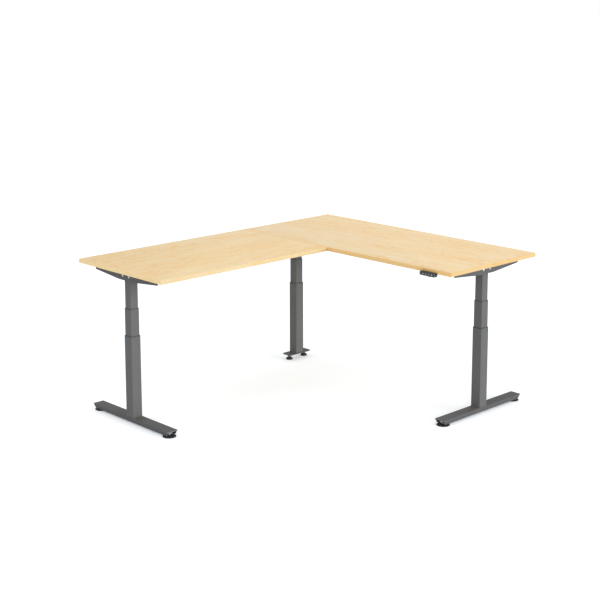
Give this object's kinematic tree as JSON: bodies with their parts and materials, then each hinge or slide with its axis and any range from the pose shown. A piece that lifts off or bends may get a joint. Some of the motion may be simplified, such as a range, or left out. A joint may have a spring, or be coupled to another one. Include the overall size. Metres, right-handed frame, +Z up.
{
  "type": "height adjustable standing desk",
  "caption": "L-shaped corner standing desk: two wood-decor tops on three electric telescopic columns with steel feet, side arms and a push-button handset.",
  "frame": {"origin": "centre of the desk's footprint, on the floor", "axes": "+Z is up; +X runs along the main top from the corner to its free end; +Y points from the return top's free end to the back edge of the main top"},
  "size_m": [1.8, 2.1, 0.945],
  "materials": {
    "board": "satin light maple decor with a matching edge band",
    "frame_coat": "fine-textured graphite powder coat",
    "tube_coat": "fine-textured graphite powder coat",
    "head_steel": "graphite powder coat",
    "bolt_zinc": "bright zinc plating",
    "motor_case": "black enamel",
    "box_case": "fine moulded texture",
    "handset_case": "satin black",
    "button_rubber": "soft grey",
    "glide_plastic": "moulded black",
    "guide_plastic": "moulded black",
    "spindle_steel": "greased steel"
  },
  "bodies": {
    "right_base": {"right_foot": "frame_coat", "right_outer_tube": "tube_coat", "right_lower_collar": "guide_plastic", "right_nut_post": "spindle_steel"},
    "right_middle": {"right_middle_tube": "tube_coat", "right_middle_guides": "guide_plastic", "right_nut_carrier": "spindle_steel"},
    "corner_base": {"corner_foot": "frame_coat", "corner_outer_tube": "tube_coat", "corner_lower_collar": "guide_plastic", "corner_nut_post": "spindle_steel"},
    "corner_middle": {"corner_middle_tube": "tube_coat", "corner_middle_guides": "guide_plastic", "corner_nut_carrier": "spindle_steel"},
    "left_base": {"left_foot": "frame_coat", "left_outer_tube": "tube_coat", "left_lower_collar": "guide_plastic", "left_nut_post": "spindle_steel"},
    "left_middle": {"left_middle_tube": "tube_coat", "left_middle_guides": "guide_plastic", "left_nut_carrier": "spindle_steel"},
    "desktop": {"main_top": "board", "return_top": "board", "right_arm": "frame_coat", "corner_arm": "frame_coat", "left_arm": "frame_coat", "arm_bolts": "bolt_zinc", "main_rails": "frame_coat", "return_rails": "frame_coat", "control_box": "box_case", "handset_body": "handset_case", "right_inner_tube": "tube_coat", "right_inner_slider": "guide_plastic", "right_column_head": "head_steel", "right_gearmotor": "motor_case", "corner_inner_tube": "tube_coat", "corner_inner_slider": "guide_plastic", "corner_column_head": "head_steel", "corner_gearmotor": "motor_case", "left_inner_tube": "tube_coat", "left_inner_slider": "guide_plastic", "left_column_head": "head_steel", "left_gearmotor": "motor_case"},
    "right_lower_spindle": {"right_lower_spindle": "spindle_steel"},
    "right_upper_spindle": {"right_upper_spindle": "spindle_steel"},
    "corner_lower_spindle": {"corner_lower_spindle": "spindle_steel"},
    "corner_upper_spindle": {"corner_upper_spindle": "spindle_steel"},
    "left_lower_spindle": {"left_lower_spindle": "spindle_steel"},
    "left_upper_spindle": {"left_upper_spindle": "spindle_steel"},
    "right_glide_front": {"right_glide_front": "glide_plastic"},
    "right_glide_back": {"right_glide_back": "glide_plastic"},
    "corner_glide_front": {"corner_glide_front": "glide_plastic"},
    "corner_glide_back": {"corner_glide_back": "glide_plastic"},
    "left_glide_outer": {"left_glide_outer": "glide_plastic"},
    "left_glide_inner": {"left_glide_inner": "glide_plastic"},
    "button_down": {"button_down": "button_rubber"},
    "button_up": {"button_up": "button_rubber"},
    "button_memory_1": {"button_memory_1": "button_rubber"},
    "button_memory_2": {"button_memory_2": "button_rubber"}
  },
  "joints": [
    {"name": "lift", "type": "slide", "parent": "right_base", "child": "right_middle", "axis": [0, 0, 1], "range_m": [-0.1575, 0.1675]},
    {"name": "right_upper_stage", "type": "slide", "parent": "right_middle", "child": "desktop", "axis": [0, 0, 1], "range_m": [-0.1575, 0.1675]},
    {"name": "corner_upper_stage", "type": "slide", "parent": "desktop", "child": "corner_middle", "axis": [0, 0, 1], "range_m": [-0.1675, 0.1575]},
    {"name": "corner_lower_stage", "type": "slide", "parent": "corner_middle", "child": "corner_base", "axis": [0, 0, 1], "range_m": [-0.1675, 0.1575]},
    {"name": "left_upper_stage", "type": "slide", "parent": "desktop", "child": "left_middle", "axis": [0, 0, 1], "range_m": [-0.1675, 0.1575]},
    {"name": "left_lower_stage", "type": "slide", "parent": "left_middle", "child": "left_base", "axis": [0, 0, 1], "range_m": [-0.1675, 0.1575]},
    {"name": "right_lower_spindle_turn", "type": "hinge", "parent": "right_middle", "child": "right_lower_spindle", "pos_m": [0.804, 0.65, 0.66], "axis": [0, 0, 1], "range_deg": [-5671, 6032]},
    {"name": "right_upper_spindle_turn", "type": "hinge", "parent": "desktop", "child": "right_upper_spindle", "pos_m": [0.804, 0.65, 0.87], "axis": [0, 0, 1], "range_deg": [-5671, 6032]},
    {"name": "corner_lower_spindle_turn", "type": "hinge", "parent": "corner_middle", "child": "corner_lower_spindle", "pos_m": [-0.802, 0.65, 0.66], "axis": [0, 0, 1], "range_deg": [-5671, 6032]},
    {"name": "corner_upper_spindle_turn", "type": "hinge", "parent": "desktop", "child": "corner_upper_spindle", "pos_m": [-0.802, 0.65, 0.87], "axis": [0, 0, 1], "range_deg": [-5671, 6032]},
    {"name": "left_lower_spindle_turn", "type": "hinge", "parent": "left_middle", "child": "left_lower_spindle", "pos_m": [-0.5, -0.963, 0.66], "axis": [0, 0, 1], "range_deg": [-5671, 6032]},
    {"name": "left_upper_spindle_turn", "type": "hinge", "parent": "desktop", "child": "left_upper_spindle", "pos_m": [-0.5, -0.963, 0.87], "axis": [0, 0, 1], "range_deg": [-5671, 6032]},
    {"name": "right_glide_front_screw", "type": "slide", "parent": "right_base", "child": "right_glide_front", "axis": [0, 0, -1], "range_m": [0, 0.008]},
    {"name": "right_glide_back_screw", "type": "slide", "parent": "right_base", "child": "right_glide_back", "axis": [0, 0, -1], "range_m": [0, 0.008]},
    {"name": "corner_glide_front_screw", "type": "slide", "parent": "corner_base", "child": "corner_glide_front", "axis": [0, 0, -1], "range_m": [0, 0.008]},
    {"name": "corner_glide_back_screw", "type": "slide", "parent": "corner_base", "child": "corner_glide_back", "axis": [0, 0, -1], "range_m": [0, 0.008]},
    {"name": "left_glide_outer_screw", "type": "slide", "parent": "left_base", "child": "left_glide_outer", "axis": [0, 0, -1], "range_m": [0, 0.008]},
    {"name": "left_glide_inner_screw", "type": "slide", "parent": "left_base", "child": "left_glide_inner", "axis": [0, 0, -1], "range_m": [0, 0.008]},
    {"name": "button_down_press", "type": "slide", "parent": "desktop", "child": "button_down", "axis": [0, 1, 0], "range_m": [0, 0.0006], "stiffness_N_per_m": 600},
    {"name": "button_up_press", "type": "slide", "parent": "desktop", "child": "button_up", "axis": [0, 1, 0], "range_m": [0, 0.0006], "stiffness_N_per_m": 600},
    {"name": "button_memory_1_press", "type": "slide", "parent": "desktop", "child": "button_memory_1", "axis": [0, 1, 0], "range_m": [0, 0.0006], "stiffness_N_per_m": 600},
    {"name": "button_memory_2_press", "type": "slide", "parent": "desktop", "child": "button_memory_2", "axis": [0, 1, 0], "range_m": [0, 0.0006], "stiffness_N_per_m": 600}
  ],
  "couplings": [
    {"joint": "right_upper_stage", "follows": "lift", "ratio": 1},
    {"joint": "corner_upper_stage", "follows": "lift", "ratio": -1},
    {"joint": "corner_lower_stage", "follows": "lift", "ratio": -1},
    {"joint": "left_upper_stage", "follows": "lift", "ratio": -1},
    {"joint": "left_lower_stage", "follows": "lift", "ratio": -1},
    {"joint": "right_lower_spindle_turn", "follows": "lift", "rad_per_m": 628.32},
    {"joint": "right_upper_spindle_turn", "follows": "lift", "rad_per_m": 628.32},
    {"joint": "corner_lower_spindle_turn", "follows": "lift", "rad_per_m": 628.32},
    {"joint": "corner_upper_spindle_turn", "follows": "lift", "rad_per_m": 628.32},
    {"joint": "left_lower_spindle_turn", "follows": "lift", "rad_per_m": 628.32},
    {"joint": "left_upper_spindle_turn", "follows": "lift", "rad_per_m": 628.32}
  ]
}
